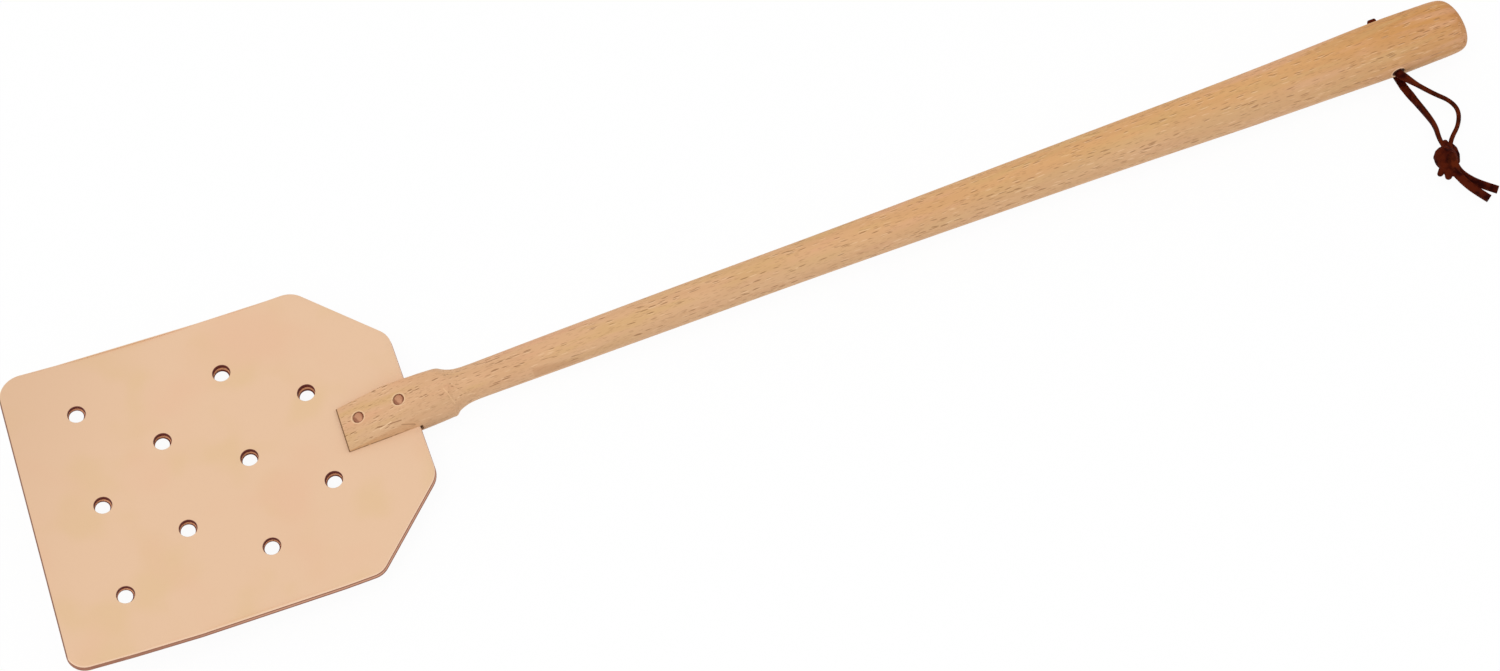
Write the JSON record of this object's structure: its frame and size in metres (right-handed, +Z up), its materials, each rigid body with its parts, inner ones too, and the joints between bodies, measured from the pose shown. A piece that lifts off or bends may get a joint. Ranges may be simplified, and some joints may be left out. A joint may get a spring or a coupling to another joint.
{
  "type": "fly swatter",
  "caption": "Fly swatter with a perforated leather head riveted into a turned beech handle, and a knotted leather hanging lace at the butt.",
  "frame": {"origin": "middle of the swatter's length and of the leather's width, on the surface it lies on", "axes": "+X along the handle from the leather head towards the butt, +Y across the leather, +Z up out of the surface it lies on"},
  "size_m": [0.4463, 0.1027, 0.0217],
  "materials": {
    "beech": "smooth sanded and lightly oiled, with short dark pore flecks along the grain",
    "vegetable_tanned_leather": "natural smooth grain, matt, with brown cut edges",
    "copper": "dull copper, hammered over and sanded flush",
    "dark_lace": "dark red-brown waxed lace"
  },
  "bodies": {
    "grip": {"handle": "beech", "leather_root": "vegetable_tanned_leather", "rivet_front": "copper", "rivet_rear": "copper", "lace_wrap": "dark_lace"},
    "blade": {"leather_flap": "vegetable_tanned_leather"},
    "loop": {"lace_strand_upper": "dark_lace", "lace_strand_lower": "dark_lace", "lace_knot": "dark_lace", "lace_tail_upper": "dark_lace", "lace_tail_lower": "dark_lace"}
  },
  "joints": [
    {"name": "leather_flex", "type": "hinge", "parent": "grip", "child": "blade", "pos_m": [-0.1305, 0, 0.0097], "axis": [0, 1, 0], "range_deg": [-30, 30], "stiffness_Nm_per_rad": 0.6},
    {"name": "loop_swing", "type": "hinge", "parent": "grip", "child": "loop", "pos_m": [0.199, -0.01, 0.005], "axis": [0, 0, 1], "range_deg": [-50, 35]}
  ]
}
